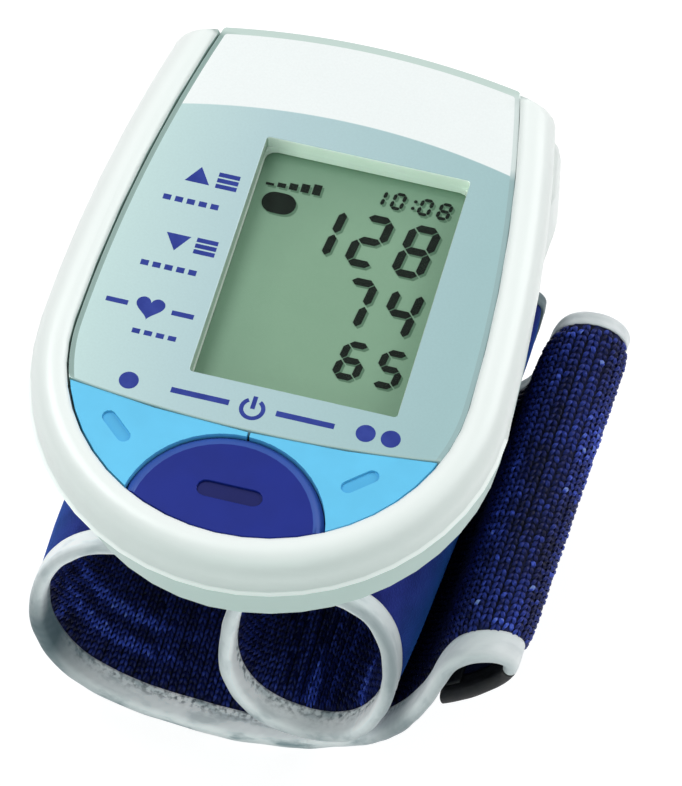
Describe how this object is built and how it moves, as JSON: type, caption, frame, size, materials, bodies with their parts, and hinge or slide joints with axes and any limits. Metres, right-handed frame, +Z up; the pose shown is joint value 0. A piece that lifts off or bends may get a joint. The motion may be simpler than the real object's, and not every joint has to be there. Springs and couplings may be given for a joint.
{
  "type": "wrist blood pressure monitor",
  "caption": "White wrist blood pressure monitor with a display, three blue buttons and a padded navy cuff with grey bindings, its short end rolled in and its long tail folded over.",
  "frame": {"origin": "on the flat underside of the cuff, straight below the middle of the case", "axes": "+X to the right seen from the button end, +Y towards the case's top end, +Z up out of the display"},
  "size_m": [0.0779, 0.0902, 0.0766],
  "materials": {
    "white_abs": "gloss white moulded ABS",
    "clear_acrylic": "clear acrylic, back printed in silvery blue-grey",
    "pale_frame": "pale moulded frame",
    "display_glass": "grey-green display glass",
    "sky_blue_cap": "satin light blue plastic",
    "deep_blue_cap": "satin deep blue plastic",
    "black_rubber": "matt black rubber",
    "board_laminate": "green glass-fibre laminate",
    "black_part": "black moulded plastic",
    "grey_part": "grey moulded plastic",
    "plain_steel": "plain steel",
    "clear_silicone": "translucent silicone",
    "cell_wrap": "plain wrapped cell",
    "navy_velour": "navy velour",
    "navy_knit": "navy ribbed knit",
    "grey_tape": "grey satin tape",
    "grey_film": "grey airtight film",
    "hook_tape": "dark hook tape"
  },
  "bodies": {
    "monitor": {"upper_housing": "white_abs", "lower_housing": "white_abs", "display_lens": "clear_acrylic", "lcd_holder": "pale_frame", "lcd_panel": "display_glass", "lcd_strip_upper": "black_rubber", "lcd_strip_lower": "black_rubber", "circuit_board": "board_laminate", "button_seal": "black_rubber", "start_switch": "black_part", "memory_left_switch": "black_part", "memory_right_switch": "black_part", "controller_chip": "black_part", "housing_screw_1": "plain_steel", "housing_screw_2": "plain_steel", "housing_screw_3": "plain_steel", "housing_screw_4": "plain_steel", "battery_upper": "cell_wrap", "battery_lower": "cell_wrap", "battery_link": "plain_steel", "contact_positive": "plain_steel", "contact_negative": "plain_steel", "pump_motor": "plain_steel", "pump_head": "black_part", "exhaust_valve": "grey_part", "pressure_sensor": "black_part", "air_manifold": "grey_part", "cuff_nozzle": "grey_part", "pump_tube": "clear_silicone", "valve_tube": "clear_silicone", "sensor_tube": "clear_silicone", "cuff_mount_plate": "grey_part", "plate_screw_1": "plain_steel", "plate_screw_2": "plain_steel", "plate_screw_3": "plain_steel", "plate_screw_4": "plain_steel", "cuff_cover": "navy_velour", "cuff_lining": "navy_knit", "air_bladder": "grey_film", "binding_front": "grey_tape", "binding_rear": "grey_tape"},
    "start_key": {"start_button": "deep_blue_cap", "start_plunger": "grey_part"},
    "memory_left_key": {"memory_left_button": "sky_blue_cap", "memory_left_plunger": "grey_part"},
    "memory_right_key": {"memory_right_button": "sky_blue_cap", "memory_right_plunger": "grey_part"},
    "door": {"battery_door": "white_abs"},
    "cuff_tail": {"tail_cover": "navy_velour", "tail_lining": "navy_knit", "tail_binding_front": "grey_tape", "tail_binding_rear": "grey_tape", "hook_patch": "hook_tape"}
  },
  "joints": [
    {"name": "start_press", "type": "slide", "parent": "monitor", "child": "start_key", "axis": [0, 0, -1], "range_m": [0, 0.0007], "stiffness_N_per_m": 400, "springref_m": -0.0005},
    {"name": "memory_left_press", "type": "slide", "parent": "monitor", "child": "memory_left_key", "axis": [0, 0, -1], "range_m": [0, 0.0007], "stiffness_N_per_m": 400, "springref_m": -0.0005},
    {"name": "memory_right_press", "type": "slide", "parent": "monitor", "child": "memory_right_key", "axis": [0, 0, -1], "range_m": [0, 0.0007], "stiffness_N_per_m": 400, "springref_m": -0.0005},
    {"name": "door_slide", "type": "slide", "parent": "monitor", "child": "door", "axis": [0, 1, 0], "range_m": [0, 0.02]},
    {"name": "tail_hinge", "type": "hinge", "parent": "monitor", "child": "cuff_tail", "pos_m": [0.02065, 0, 0.00944], "axis": [0, 1, 0], "range_deg": [0, 55]}
  ]
}
